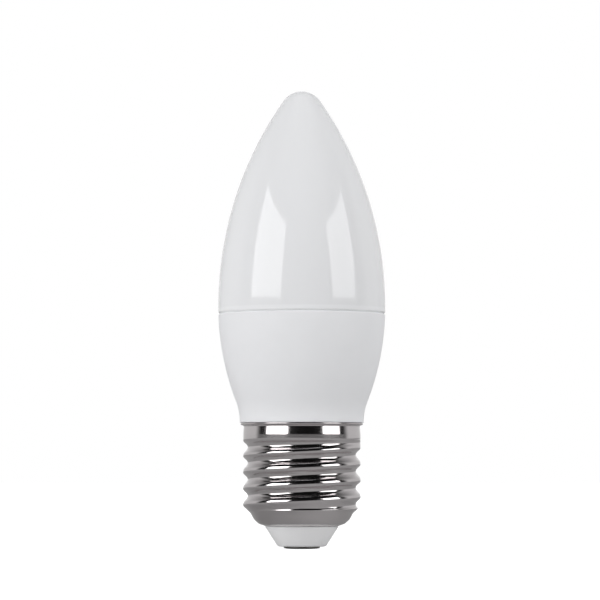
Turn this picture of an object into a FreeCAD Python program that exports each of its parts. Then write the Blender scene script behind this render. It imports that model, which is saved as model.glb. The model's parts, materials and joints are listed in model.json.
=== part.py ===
import FreeCAD, Part
import math
import os
import re
import Sketcher

# Candle lamp with a screw cap. The axis is Z, the cap points down, and the origin is the lowest
# point of the centre contact. X and Y are across; the driver board stands in the XZ plane.

# Driving sizes in millimetres, written once. Radii are half diameters.
SIZES = {
    # fits
    "seat_gap": 0.05,
    "loose_gap": 0.1,
    "neck_gap": 0.3,
    "solder_gap": 0.1,
    # centre contact
    "contact_radius": 4.0,
    "contact_flat": 2.6,
    "contact_dome": 0.2,
    "contact_height": 0.5,
    "stem_wall": 0.65,
    "stem_proud": 0.6,
    # insulator
    "insulator_foot": 5.1,
    "mouth_radius": 7.96,
    "insulator_height": 4.45,
    "insulator_round": 0.8,
    "spigot_height": 1.6,
    # screw shell
    "sheet": 0.3,
    "shell_height": 23.1,
    "knee_radius": 9.9,
    "knee_rise": 0.85,
    "knee_round": 2.0,
    "taper_height": 5.1,
    "thread_radius": 13.03,
    "thread_depth": 1.09,
    "thread_pitch": 3.629,
    "thread_rise": 1.22,
    "runout_turns": 0.5,
    "crest_half": 0.1345,
    "bevel_width": 0.48,
    "bevel_depth": 0.19,
    "root_half": 0.35,
    "collar_inset": 0.13,
    "collar_height": 2.3,
    "collar_step": 0.3,
    "rim_step": 0.6,
    "rim_height": 0.6,
    "rim_flare": 0.7,
    # housing
    "foot_step": 0.16,
    "wide_radius": 18.48,
    "flare_radius": 13.46,
    "housing_height": 24.15,
    "housing_wall": 1.2,
    "housing_floor": 1.6,
    "edge_round": 0.3,
    "neck_lift": 6.0,
    "neck_wall": 2.14,
    "neck_ring": 2.9,
    "slot_depth": 0.7,
    # diffuser
    "seam_width": 0.4,
    "widest_rise": 1.5,
    "diffuser_height": 48.85,
    "diffuser_wall": 1.2,
    "tip_radius": 5.0,
    "skirt_depth": 4.7,
    "skirt_wall": 1.2,
    # heat sink
    "sink_wall": 1.0,
    "sink_plate": 1.5,
    "pin_hole_width": 6.0,
    "pin_hole_depth": 3.0,
    # light board
    "light_board_thickness": 1.0,
    "light_pitch": 5.9,
    "light_width": 2.8,
    "light_length": 3.5,
    "light_height": 0.8,
    # board screws
    "screw_edge": 3.03,
    "screw_radius": 1.0,
    "screw_head": 1.9,
    "screw_head_height": 1.3,
    "screw_recess_length": 2.1,
    "screw_recess_width": 0.5,
    "screw_recess_depth": 0.7,
    "screw_end": 0.4,
    # driver board
    "board_thickness": 1.0,
    "board_drop": 3.0,
    "board_top_gap": 1.2,
    "shoulder_gap": 0.6,
    # parts on the driver board
    "capacitor_gap": 0.6,
    "capacitor_length": 12.0,
    "capacitor_lift": 0.6,
    "capacitor_crimp": 0.35,
    "capacitor_crimp_foot": 1.5,
    "inductor_width": 8.0,
    "inductor_depth": 7.6,
    "inductor_flange": 1.1,
    "inductor_height": 8.0,
    "inductor_lift": 2.2,
    "winding_radius": 3.0,
    "film_width": 7.0,
    "film_depth": 3.5,
    "film_height": 6.0,
    "film_lift": 1.2,
    "film_round": 0.6,
    "resistor_radius": 1.3,
    "resistor_length": 7.0,
    "resistor_cap": 0.15,
    "resistor_cap_length": 1.2,
    "resistor_gap": 0.9,
    "resistor_lift": 1.4,
    "bridge_width": 4.8,
    "bridge_depth": 1.5,
    "bridge_height": 3.9,
    "bridge_lift": 1.8,
    "chip_width": 4.9,
    "chip_depth": 1.5,
    "chip_height": 3.9,
    "chip_lift": 3.0,
    "diode_width": 4.3,
    "diode_depth": 2.2,
    "diode_height": 2.6,
    "diode_lift": 2.4,
    "diode_offset": 6.0,
    "body_chamfer": 0.3,
    "leg_reach": 0.8,
    "leg_thickness": 0.25,
    "leg_share": 0.45,
    # pins and wires
    "pin_width": 0.64,
    "pin_pitch": 2.54,
    "pin_lap": 4.0,
    "pin_proud": 0.8,
    "wire_radius": 0.65,
    "wire_lap": 4.5,
    "wire_floor": 0.4,
    "bare_radius": 0.35,
    "bare_inset": 1.8,
    "bare_lap": 3.2,
    "bare_bend": 1.6,
    "bare_turns": 1.5,
}

doc = FreeCAD.newDocument("candle_lamp")
sheet = doc.addObject("Spreadsheet::Sheet", "size")
for row, (alias, number) in enumerate(SIZES.items(), start=1):
    sheet.set(f"A{row}", alias)
    sheet.set(f"B{row}", str(number))
    sheet.setAlias(f"B{row}", alias)
doc.recompute()


def bound(text):
    """The text with each size's name written as that cell of the sheet."""
    return re.sub(r"[a-z_]+", lambda word: f"size.{word[0]}" if word[0] in SIZES else word[0], str(text))


def value(text):
    """The number that a text of sizes stands for now."""
    return float(sheet.evalExpression(bound(text)))


# Heights on the axis, from the contact up.
INSULATOR_TOP = "(contact_height + insulator_height)"
SPIGOT_TOP = f"({INSULATOR_TOP} + spigot_height)"
STEM_TOP = f"({SPIGOT_TOP} + stem_proud)"
MOUTH = f"({INSULATOR_TOP} + seat_gap)"
SHELL_TOP = f"({MOUTH} + shell_height)"
HOUSING_FOOT = f"({SHELL_TOP} + seat_gap)"
NECK_FOOT = f"({STEM_TOP} + neck_lift)"
SINK_SEAT = f"({HOUSING_FOOT} + housing_floor)"
SEAM = f"({HOUSING_FOOT} + housing_height)"
HOUSING_TOP = f"({SEAM} - seam_width / 2)"
DIFFUSER_FOOT = f"({SEAM} + seam_width / 2)"
LIGHT_SEAT = f"({SEAM} - skirt_depth)"
SKIRT_FOOT = f"({LIGHT_SEAT} + seat_gap)"
WIDEST = f"({SEAM} + widest_rise)"
TIP = f"({SEAM} + diffuser_height)"
SINK_UNDERSIDE = f"({LIGHT_SEAT} - sink_plate)"
BOARD_TOP = f"({SINK_UNDERSIDE} - board_top_gap)"
BOARD_FOOT = f"({NECK_FOOT} - board_drop)"
BOARD_SEAT = f"({SINK_SEAT} + seat_gap)"
BOARD_FACE = "(board_thickness / 2)"

# Radii that follow from a seat, or from the piece beside.
STEM_BORE = "(wire_radius + solder_gap)"
STEM_RADIUS = f"({STEM_BORE} + stem_wall)"
THREAD_ROOT = "(thread_radius - thread_depth)"
COLLAR_RADIUS = "(thread_radius - collar_inset)"
RIM_RADIUS = f"({COLLAR_RADIUS} + rim_step)"
FOOT_RADIUS = f"({RIM_RADIUS} + foot_step)"
NECK_RADIUS = f"({THREAD_ROOT} - sheet - neck_gap)"
NECK_BORE = f"({NECK_RADIUS} - neck_wall)"
RING_RADIUS = f"({COLLAR_RADIUS} - sheet - seat_gap)"
SLOT_REACH = f"({NECK_BORE} + slot_depth)"
REBATE_RADIUS = "(wide_radius - housing_wall)"
SKIRT_RADIUS = f"({REBATE_RADIUS} - seat_gap)"
SKIRT_INSIDE = f"({SKIRT_RADIUS} - skirt_wall)"
LIGHT_BOARD_RADIUS = f"({SKIRT_INSIDE} - loose_gap)"
SCREW_OFFSET = f"({LIGHT_BOARD_RADIUS} - screw_edge)"
LIGHT_RING = f"({SCREW_OFFSET} - screw_head - light_width / 2 - loose_gap)"
CAPACITOR_RADIUS = f"(({NECK_BORE} - {BOARD_FACE} - solder_gap - capacitor_gap) / 2)"


def origin_plane(body, role):
    """One of the body's own origin planes or axes, by its role."""
    for feature in body.Origin.OriginFeatures:
        if feature.Role == role:
            return feature
    raise ValueError(f"{body.Label} has no {role}")


def new_body(label):
    """An empty body with the name of its sub-part."""
    body = doc.addObject("PartDesign::Body", label)
    body.Label = label
    return body


def arc_between(first, last, radius, turn):
    """The arc shorter than a half turn from first to last, bending left or right."""
    chord = last - first
    reach = math.sqrt(max(radius ** 2 - (chord.Length / 2) ** 2, 0.0))
    side = 1 if turn == "left" else -1
    across = FreeCAD.Vector(-chord.y, chord.x, 0).normalize()
    centre = (first + last) * 0.5 + across * (reach * side)
    start, end = (first, last) if turn == "left" else (last, first)
    circle = Part.Circle(centre, FreeCAD.Vector(0, 0, 1), radius)
    angles = [math.atan2(point.y - centre.y, point.x - centre.x) for point in (start, end)]
    if angles[1] < angles[0]:
        angles[1] += 2 * math.pi
    return Part.ArcOfCircle(circle, angles[0], angles[1])


def draw(body, name, role, corners, closed=True):
    """A sketch on an origin plane whose corners stand where the sheet's sizes put them.

    A corner is (x, y), reached by a straight side, or (x, y, turn, radius), reached by an arc.
    """
    sketch = body.newObject("Sketcher::SketchObject", name)
    sketch.AttachmentSupport = (origin_plane(body, role), [""])
    sketch.MapMode = "FlatFace"
    points = [FreeCAD.Vector(value(corner[0]), value(corner[1]), 0) for corner in corners]
    constraints = []
    texts = []
    sides = []
    for index, corner in enumerate(corners):
        if index == 0 and not closed:
            continue
        before = points[index - 1]
        here = points[index]
        if len(corner) == 2:
            geometry = sketch.addGeometry(Part.LineSegment(before, here))
            sides.append((geometry, 1, 2, index))
            continue
        turn, radius = corner[2:]
        geometry = sketch.addGeometry(arc_between(before, here, value(radius), turn))
        sides.append((geometry, 1, 2, index) if turn == "left" else (geometry, 2, 1, index))
        constraints.append(Sketcher.Constraint("Radius", geometry, value(radius)))
        texts.append(radius)
    ends = [(geometry, end, index) for geometry, start, end, index in sides]
    if not closed:
        ends.insert(0, (sides[0][0], sides[0][1], 0))
    for geometry, end, index in ends:
        for kind, axis, text in (("DistanceX", -2, corners[index][0]), ("DistanceY", -1, corners[index][1])):
            if str(text) == "0":
                constraints.append(Sketcher.Constraint("PointOnObject", geometry, end, axis))
                texts.append(None)
                continue
            constraints.append(Sketcher.Constraint(kind, -1, 1, geometry, end, value(text)))
            texts.append(text)
    joins = list(zip(sides, sides[1:]))
    if closed:
        joins.append((sides[-1], sides[0]))
    for side, following in joins:
        constraints.append(Sketcher.Constraint("Coincident", side[0], side[2], following[0], following[1]))
        texts.append(None)
    first_index = sketch.ConstraintCount
    sketch.addConstraint(constraints)
    for offset, text in enumerate(texts):
        if text is not None:
            sketch.setExpression(f"Constraints[{first_index + offset}]", bound(text))
    return sketch


def turn_about_axis(body, name, corners):
    """A full turn of an outline in the XZ plane about Z."""
    feature = body.newObject("PartDesign::Revolution", name)
    feature.Profile = draw(body, f"{name}_section", "XZ_Plane", corners)
    feature.ReferenceAxis = (origin_plane(body, "Z_Axis"), [""])
    feature.Angle = 360
    return feature


def rectangle(width, depth, x="0", y="0"):
    """Corners of a rectangle about the point (x, y)."""
    return [
        (f"{x} + {width} / 2", f"{y} - {depth} / 2"),
        (f"{x} + {width} / 2", f"{y} + {depth} / 2"),
        (f"{x} - {width} / 2", f"{y} + {depth} / 2"),
        (f"{x} - {width} / 2", f"{y} - {depth} / 2"),
    ]


def draw_circles(body, name, circles, height="0"):
    """A sketch across the axis at a height, with circles given as (x, y, radius)."""
    sketch = body.newObject("Sketcher::SketchObject", name)
    sketch.AttachmentSupport = (origin_plane(body, "XY_Plane"), [""])
    sketch.MapMode = "FlatFace"
    sketch.setExpression("AttachmentOffset.Base.z", bound(height))
    for x, y, radius in circles:
        centre = FreeCAD.Vector(value(x), value(y), 0)
        geometry = sketch.addGeometry(Part.Circle(centre, FreeCAD.Vector(0, 0, 1), value(radius)))
        index = sketch.addConstraint(Sketcher.Constraint("Radius", geometry, value(radius)))
        sketch.setExpression(f"Constraints[{index}]", bound(radius))
        for kind, axis, text in (("DistanceX", -2, x), ("DistanceY", -1, y)):
            if str(text) == "0":
                sketch.addConstraint(Sketcher.Constraint("PointOnObject", geometry, 3, axis))
                continue
            index = sketch.addConstraint(Sketcher.Constraint(kind, -1, 1, geometry, 3, value(text)))
            sketch.setExpression(f"Constraints[{index}]", bound(text))
    return sketch


def draw_across(body, name, corners, height):
    """A closed sketch across the axis at a height."""
    sketch = draw(body, name, "XY_Plane", corners)
    sketch.setExpression("AttachmentOffset.Base.z", bound(height))
    return sketch


def pad(body, name, sketch, length, reverse=False, both_ways=False):
    """The sketch raised along its normal."""
    feature = body.newObject("PartDesign::Pad", name)
    feature.Profile = sketch
    feature.setExpression("Length", bound(length))
    feature.Reversed = reverse
    feature.Midplane = both_ways
    return feature


def pocket(body, name, sketch, length, upward=False):
    """The sketch cut down along the axis, or up; the cut has to take something away."""
    doc.recompute()
    before = body.Shape.Volume
    feature = body.newObject("PartDesign::Pocket", name)
    feature.Profile = sketch
    feature.setExpression("Length", bound(length))
    feature.Reversed = upward
    doc.recompute()
    if body.Shape.Volume >= before:
        raise ValueError(f"{body.Label}: {name} cuts nothing")
    return feature


# How close two lengths have to be to count as the same.
CLOSE = 1e-3


def circle_edges(shape, radius, height):
    """Names of the edges that run round the axis at a radius and a height."""
    found = []
    for index, edge in enumerate(shape.Edges, start=1):
        box = edge.BoundBox
        level = box.ZLength < CLOSE and abs(box.ZMin - height) < CLOSE
        if level and abs(box.XMax - radius) < CLOSE and edge.Length > radius:
            found.append(f"Edge{index}")
    return found


def dress_edges(body, name, kind, base, edges, size):
    """A fillet or a chamfer on named edges of a feature."""
    feature = body.newObject(f"PartDesign::{kind}", name)
    feature.Base = (base, edges)
    feature.setExpression("Radius" if kind == "Fillet" else "Size", bound(size))
    return feature


def round_rim(body, name, base, radius, height, size):
    """A fillet on the edge that runs round the axis at a radius and a height."""
    doc.recompute()
    edges = circle_edges(base.Shape, value(radius), value(height))
    if not edges:
        raise ValueError(f"{body.Label}: {name} finds no edge")
    return dress_edges(body, name, "Fillet", base, edges, size)


def place(part, x="0", y="0", z="0"):
    """Move a sub-part to a point that follows the sheet."""
    for axis, text in (("x", x), ("y", y), ("z", z)):
        part.setExpression(f"Placement.Base.{axis}", bound(text))


def inside(path, thickness):
    """Inner corners of a path of straight sides that runs up an outer face, its sides moved to the left."""
    angles = [
        f"atan2({last[1]} - ({first[1]}); {last[0]} - ({first[0]}))"
        for first, last in zip(path, path[1:])
    ]
    angles = [angles[0]] + angles + [angles[-1]]
    corners = []
    for (x, y), before, after in zip(path, angles, angles[1:]):
        middle = f"(({before} + {after}) / 2)"
        reach = f"{thickness} / cos(({after} - {before}) / 2)"
        corners.append((f"{x} - {reach} * sin({middle})", f"{y} + {reach} * cos({middle})"))
    return corners


# Side of the housing: a flare that leaves the foot upright, then a long arc that is upright again at
# the widest point. The two arcs meet in a tangent, which fixes the sum of their radii.
SIDE_STEP = f"(wide_radius - {FOOT_RADIUS})"
SIDE_RISE = f"({WIDEST} - {HOUSING_FOOT})"
SIDE_SUM = f"(({SIDE_STEP} ^ 2 + {SIDE_RISE} ^ 2) / (2 * {SIDE_STEP}))"


def flare_radius(depth):
    """Radius of the lower arc, a depth inside the housing's face."""
    return f"(flare_radius + {depth})"


def shoulder_radius(depth):
    """Radius of the upper arc, a depth inside the housing's face."""
    return f"({SIDE_SUM} - flare_radius - {depth})"


def flare_at(depth, height):
    """Radius of the lower arc's face at a height."""
    middle = f"({FOOT_RADIUS} + flare_radius)"
    return f"({middle} - sqrt({flare_radius(depth)} ^ 2 - ({height} - {HOUSING_FOOT}) ^ 2))"


def shoulder_at(depth, height):
    """Radius of the upper arc's face at a height."""
    middle = f"(wide_radius - {SIDE_SUM} + flare_radius)"
    return f"({middle} + sqrt({shoulder_radius(depth)} ^ 2 - ({WIDEST} - {height}) ^ 2))"


def side_join(depth):
    """The point where the two arcs meet."""
    share = f"({flare_radius(depth)} / {SIDE_SUM})"
    return (
        f"{FOOT_RADIUS} + flare_radius + ({SIDE_STEP} - {SIDE_SUM}) * {share}",
        f"{HOUSING_FOOT} + {SIDE_RISE} * {share}",
    )


def make_centre_contact():
    """Rivet with a flat, slightly domed head and a hollow stem that takes the live lead."""
    body = new_body("centre_contact")
    dome_reach = "(contact_radius - contact_flat)"
    dome_radius = f"({dome_reach} ^ 2 + contact_dome ^ 2) / (2 * contact_dome)"
    turn_about_axis(body, "rivet", [
        ("0", "0"),
        ("contact_flat", "0"),
        ("contact_radius", "contact_dome", "left", dome_radius),
        ("contact_radius", "contact_height"),
        (STEM_RADIUS, "contact_height"),
        (STEM_RADIUS, STEM_TOP),
        (STEM_BORE, STEM_TOP),
        (STEM_BORE, "contact_height"),
        ("0", "contact_height"),
    ])
    return body


def make_insulator():
    """Moulded cone under the shell, with a spigot up into its mouth and a hole for the stem."""
    body = new_body("insulator")
    hole = f"{STEM_RADIUS} + seat_gap"
    spigot = "mouth_radius - sheet - seat_gap"
    cone = turn_about_axis(body, "cone", [
        (hole, "contact_height"),
        ("insulator_foot", "contact_height"),
        ("mouth_radius", INSULATOR_TOP),
        (spigot, INSULATOR_TOP),
        (spigot, SPIGOT_TOP),
        (hole, SPIGOT_TOP),
    ])
    round_rim(body, "foot_round", cone, "insulator_foot", "contact_height", "insulator_round")
    return body


RIM_FOOT = f"({SHELL_TOP} - rim_height)"
COLLAR_FOOT = f"({RIM_FOOT} - rim_flare - collar_height)"
THREAD_START = f"({MOUTH} + thread_rise)"

# Full turns of the thread, by the half turn: what the length below the collar leaves to the run-out.
THREAD_TURNS = f"(floor(2 * (({COLLAR_FOOT} - {THREAD_START}) / thread_pitch - runout_turns)) / 2)"

# Outer face of the screw shell before the thread is rolled: mouth, knee, taper, thread, collar, rim.
SHELL_FACE = [
    ("mouth_radius", MOUTH),
    ("knee_radius", f"{MOUTH} + knee_rise"),
    ("thread_radius", f"{MOUTH} + taper_height"),
    ("thread_radius", f"{COLLAR_FOOT} - collar_step"),
    (COLLAR_RADIUS, COLLAR_FOOT),
    (COLLAR_RADIUS, f"{RIM_FOOT} - rim_flare"),
    (RIM_RADIUS, RIM_FOOT),
    (RIM_RADIUS, SHELL_TOP),
]

# Half of the thread's groove as (radius, distance from its middle), from the crest down to the root.
GROOVE_HALF = [
    ("thread_radius", "thread_pitch / 2"),
    ("thread_radius", "(thread_pitch / 2 - crest_half)"),
    ("thread_radius - bevel_depth", "(thread_pitch / 2 - crest_half - bevel_width)"),
    (THREAD_ROOT, "root_half"),
]


def groove_face(start):
    """The groove's outer face as a path that runs up past its middle, which is at the start height."""
    lower = [(radius, f"{start} - {half}") for radius, half in GROOVE_HALF]
    upper = [(radius, f"{start} + {half}") for radius, half in reversed(GROOVE_HALF)]
    return lower + upper


def cut_thread(body, name, face, start, thickness):
    """Cut the rolled thread in a turned body: full depth from the taper up, then a run-out."""
    outside = "(thread_radius + thread_depth)"
    runout_start = f"{start} + thread_pitch * {THREAD_TURNS}"
    mirrored = value(f"2 * {THREAD_TURNS}") % 2 == 1
    for stage, base, opposite, turns in (
        ("groove", start, False, THREAD_TURNS),
        ("runout", runout_start, mirrored, "runout_turns"),
    ):
        path = face(base)
        corners = (inside(path, thickness) if thickness else path)[1:-1]
        corners = [(outside, corners[0][1])] + corners + [(outside, corners[-1][1])]
        if opposite:
            corners = [(f"-({radius})", height) for radius, height in corners]
        helix = body.newObject("PartDesign::SubtractiveHelix", f"{name}_{stage}")
        helix.Profile = draw(body, f"{name}_{stage}_section", "XZ_Plane", corners)
        helix.ReferenceAxis = (origin_plane(body, "Z_Axis"), [""])
        helix.Mode = 0
        helix.setExpression("Pitch", bound("thread_pitch"))
        helix.setExpression("Height", bound(f"thread_pitch * {turns}"))
        if stage == "runout":
            helix.setExpression("Angle", bound("atan(thread_depth / (thread_pitch * runout_turns))"))
    doc.recompute()


def make_screw_shell():
    """Sheet-metal shell with a rolled thread: the outer form less an inner form one sheet inside it."""
    outer = new_body("shell_outer_form")
    knee = turn_about_axis(outer, "outer_turn", [("0", SHELL_FACE[0][1])] + SHELL_FACE + [("0", SHELL_TOP)])
    knee_height = f"{MOUTH} + knee_rise"
    round_rim(outer, "outer_knee", knee, "knee_radius", knee_height, "knee_round")
    cut_thread(outer, "outer", groove_face, THREAD_START, None)

    inner = new_body("shell_inner_form")
    face = inside(SHELL_FACE, "sheet")
    past_mouth = (face[0][0], f"{MOUTH} - sheet")
    past_rim = (face[-1][0], f"{SHELL_TOP} + sheet")
    corners = [("0", past_mouth[1]), past_mouth] + face[:-1] + [past_rim, ("0", past_rim[1])]
    core = turn_about_axis(inner, "inner_turn", corners)
    round_rim(inner, "inner_knee", core, face[1][0], face[1][1], "knee_round - sheet")
    cut_thread(inner, "inner", groove_face, THREAD_START, "sheet")

    shell = doc.addObject("Part::Cut", "screw_shell")
    shell.Label = "screw_shell"
    shell.Base = outer
    shell.Tool = inner
    return shell


def make_housing():
    """Moulded housing: flared side, rebate for the diffuser, floor for the heat sink, slotted neck."""
    body = new_body("housing")
    join = side_join("0")
    inner_join = side_join("housing_wall")
    ring_foot = f"{HOUSING_FOOT} - neck_ring"
    shell = turn_about_axis(body, "moulding", [
        (NECK_BORE, NECK_FOOT),
        (NECK_RADIUS, NECK_FOOT),
        (NECK_RADIUS, f"{ring_foot} - ({RING_RADIUS} - {NECK_RADIUS})"),
        (RING_RADIUS, ring_foot),
        (RING_RADIUS, HOUSING_FOOT),
        (FOOT_RADIUS, HOUSING_FOOT),
        join + ("right", flare_radius("0")),
        (shoulder_at("0", HOUSING_TOP), HOUSING_TOP, "left", shoulder_radius("0")),
        (REBATE_RADIUS, HOUSING_TOP),
        (REBATE_RADIUS, LIGHT_SEAT),
        (shoulder_at("housing_wall", LIGHT_SEAT), LIGHT_SEAT),
        inner_join + ("right", shoulder_radius("housing_wall")),
        (flare_at("housing_wall", SINK_SEAT), SINK_SEAT, "left", flare_radius("housing_wall")),
        (NECK_BORE, SINK_SEAT),
    ])
    top = round_rim(body, "top_round", shell, shoulder_at("0", HOUSING_TOP), HOUSING_TOP, "edge_round")
    round_rim(body, "foot_round", top, FOOT_RADIUS, HOUSING_FOOT, "edge_round")
    slot = rectangle(f"2 * {SLOT_REACH}", "(board_thickness + 2 * loose_gap)")
    sketch = draw_across(body, "board_slots_section", slot, NECK_FOOT)
    pocket(body, "board_slots", sketch, f"{SINK_SEAT} - {NECK_FOOT}", upward=True)
    return body


# Outline of the diffuser: one long arc, upright at the widest point, and a round tip tangent to it.
TIP_RISE = f"({TIP} - tip_radius - {WIDEST})"
OGIVE = f"((wide_radius ^ 2 + {TIP_RISE} ^ 2 - tip_radius ^ 2) / (2 * (wide_radius - tip_radius)))"


def ogive_join(depth):
    """The point where the long arc and the tip meet, a depth inside the diffuser's face."""
    share = f"((tip_radius - {depth}) / ({OGIVE} - tip_radius))"
    return (
        f"({OGIVE} - wide_radius) * {share}",
        f"{TIP} - tip_radius + {TIP_RISE} * {share}",
    )


def make_diffuser():
    """Opal candle-shaped cover of even wall, with a skirt that plugs into the housing."""
    body = new_body("diffuser")
    foot = f"(wide_radius - {OGIVE} + sqrt({OGIVE} ^ 2 - ({WIDEST} - {DIFFUSER_FOOT}) ^ 2))"
    cover = turn_about_axis(body, "cover", [
        (SKIRT_RADIUS, SKIRT_FOOT),
        (SKIRT_RADIUS, DIFFUSER_FOOT),
        (foot, DIFFUSER_FOOT),
        ogive_join("0") + ("left", OGIVE),
        ("0", TIP, "left", "tip_radius"),
        ("0", f"{TIP} - diffuser_wall"),
        ogive_join("diffuser_wall") + ("right", "tip_radius - diffuser_wall"),
        ("wide_radius - diffuser_wall", WIDEST, "right", f"{OGIVE} - diffuser_wall"),
        (SKIRT_INSIDE, DIFFUSER_FOOT),
        (SKIRT_INSIDE, SKIRT_FOOT),
    ])
    round_rim(body, "foot_round", cover, foot, DIFFUSER_FOOT, "edge_round")
    return body


SINK_FOOT = f"({SINK_SEAT} + seat_gap)"
SINK_FACE = "(housing_wall + seat_gap)"
SINK_INSIDE = "(housing_wall + seat_gap + sink_wall)"
PIN_MIDDLE = f"({BOARD_FACE} + pin_width / 2)"
LIGHT_BOARD_TOP = f"({LIGHT_SEAT} + light_board_thickness)"


def screw_holes(radius):
    """The two screw holes, on the Y axis."""
    return [("0", SCREW_OFFSET, radius), ("0", f"-{SCREW_OFFSET}", radius)]


def make_heat_sink():
    """Aluminium cup, open below, that follows the housing's inner face and carries the light board."""
    body = new_body("heat_sink")
    turn_about_axis(body, "cup", [
        (flare_at(SINK_FACE, SINK_FOOT), SINK_FOOT),
        side_join(SINK_FACE) + ("right", flare_radius(SINK_FACE)),
        (shoulder_at(SINK_FACE, LIGHT_SEAT), LIGHT_SEAT, "left", shoulder_radius(SINK_FACE)),
        ("0", LIGHT_SEAT),
        ("0", SINK_UNDERSIDE),
        (shoulder_at(SINK_INSIDE, SINK_UNDERSIDE), SINK_UNDERSIDE),
        side_join(SINK_INSIDE) + ("right", shoulder_radius(SINK_INSIDE)),
        (flare_at(SINK_INSIDE, SINK_FOOT), SINK_FOOT, "left", flare_radius(SINK_INSIDE)),
    ])
    window = rectangle("pin_hole_width", "pin_hole_depth", "0", PIN_MIDDLE)
    sketch = draw_across(body, "pin_window_section", window, LIGHT_SEAT)
    pocket(body, "pin_window", sketch, "sink_plate")
    holes = draw_circles(body, "tapped_holes_section", screw_holes("screw_radius + seat_gap"), LIGHT_SEAT)
    pocket(body, "tapped_holes", holes, "sink_plate")
    return body


def make_led_board():
    """Round metal-core board, with holes for its two screws and for the two pins."""
    body = new_body("led_board")
    disc = draw_circles(body, "disc_section", [("0", "0", LIGHT_BOARD_RADIUS)], LIGHT_SEAT)
    pad(body, "disc", disc, "light_board_thickness")
    pin_hole = "pin_width / sqrt(2) + solder_gap"
    circles = screw_holes("screw_radius + loose_gap")
    circles += [("pin_pitch / 2", PIN_MIDDLE, pin_hole), ("-pin_pitch / 2", PIN_MIDDLE, pin_hole)]
    holes = draw_circles(body, "holes_section", circles, LIGHT_BOARD_TOP)
    pocket(body, "holes", holes, "light_board_thickness")
    return body


def repeat_round(body, name, originals, count):
    """The same features again, evenly round the axis, as separate solids."""
    pattern = body.newObject("PartDesign::PolarPattern", name)
    pattern.Originals = originals
    pattern.Axis = (origin_plane(body, "Z_Axis"), [""])
    pattern.Angle = 360
    pattern.setExpression("Occurrences", bound(count))
    body.Tip = pattern
    return pattern


def make_led_packages():
    """Ring of flat light-emitting packages, each a solid of its own."""
    body = new_body("led_packages")
    body.AllowCompound = True
    block = rectangle("light_width", "light_length", LIGHT_RING, "0")
    sketch = draw_across(body, "package_section", block, LIGHT_BOARD_TOP)
    package = pad(body, "package", sketch, "light_height")
    repeat_round(body, "ring", [package], f"floor(2 * pi * {LIGHT_RING} / light_pitch)")
    return body


def make_board_screws():
    """Two pan-head screws, with a cross recess, through the light board into the heat sink."""
    body = new_body("board_screws")
    body.AllowCompound = True
    head_top = f"({LIGHT_BOARD_TOP} + screw_head_height)"
    end = f"({SINK_UNDERSIDE} - screw_end)"
    section = draw(body, "screw_section", "YZ_Plane", [
        ("0", end),
        ("screw_radius", end),
        ("screw_radius", LIGHT_BOARD_TOP),
        ("screw_head", LIGHT_BOARD_TOP),
        ("screw_head", f"{head_top} - screw_head_height / 2"),
        ("screw_head - screw_head_height / 2", head_top),
        ("0", head_top),
    ])
    section.setExpression("AttachmentOffset.Base.x", bound(SCREW_OFFSET))
    screw = body.newObject("PartDesign::Revolution", "screw")
    screw.Profile = section
    screw.ReferenceAxis = (section, ["V_Axis"])
    screw.Angle = 360
    sides = ("screw_recess_length", "screw_recess_width")
    recesses = []
    for name, (width, depth) in (("recess", sides), ("cross", sides[::-1])):
        bar = rectangle(width, depth, "0", SCREW_OFFSET)
        sketch = draw_across(body, f"{name}_section", bar, head_top)
        recesses.append(pocket(body, name, sketch, "screw_recess_depth"))
    repeat_round(body, "pair", [screw] + recesses, "2")
    return body


BOARD_HALF = f"({SLOT_REACH} - loose_gap)"
SHOULDER_HALF = f"({flare_at(SINK_INSIDE, SINK_FOOT)} - shoulder_gap)"


def make_driver_board():
    """Upright circuit board: its edges run in the neck's slots and its shoulders rest on the floor."""
    body = new_body("driver_board")
    outline = draw(body, "board_section", "XZ_Plane", [
        (f"-{BOARD_HALF}", BOARD_FOOT),
        (BOARD_HALF, BOARD_FOOT),
        (BOARD_HALF, BOARD_SEAT),
        (SHOULDER_HALF, BOARD_SEAT),
        (SHOULDER_HALF, BOARD_TOP),
        (f"-{SHOULDER_HALF}", BOARD_TOP),
        (f"-{SHOULDER_HALF}", BOARD_SEAT),
        (f"-{BOARD_HALF}", BOARD_SEAT),
    ])
    pad(body, "board", outline, "board_thickness", both_ways=True)
    return body


def front_of_board(radius):
    """Distance in Y of a round part's axis that lies in front of the driver board."""
    return f"-({BOARD_FACE} + solder_gap + {radius})"


CAPACITOR_FOOT = f"({NECK_FOOT} + capacitor_lift)"
RESISTOR_FOOT = f"({NECK_FOOT} + resistor_lift)"
INDUCTOR_MIDDLE = f"({SINK_SEAT} + inductor_lift + inductor_height / 2)"
LEAD_TOP = f"({BOARD_FOOT} + wire_lap)"
FILM_FOOT = f"({LEAD_TOP} + film_lift)"
BRIDGE_FOOT = f"({FILM_FOOT} + film_height + bridge_lift)"
CHIP_FOOT = f"({BRIDGE_FOOT} + bridge_height + chip_lift)"
DIODE_FOOT = f"({CHIP_FOOT} + chip_height + diode_lift)"


def make_bulk_capacitor():
    """Can capacitor that lies along the board, with the crimp that holds its seal."""
    body = new_body("bulk_capacitor")
    turn_about_axis(body, "can", [
        ("0", "0"),
        (CAPACITOR_RADIUS, "0"),
        (CAPACITOR_RADIUS, "capacitor_crimp_foot"),
        (f"{CAPACITOR_RADIUS} - capacitor_crimp", "capacitor_crimp_foot + capacitor_crimp"),
        (CAPACITOR_RADIUS, "capacitor_crimp_foot + 2 * capacitor_crimp"),
        (CAPACITOR_RADIUS, "capacitor_length - capacitor_crimp"),
        (f"{CAPACITOR_RADIUS} - capacitor_crimp", "capacitor_length"),
        ("0", "capacitor_length"),
    ])
    place(body, "0", front_of_board(CAPACITOR_RADIUS), CAPACITOR_FOOT)
    return body


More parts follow.
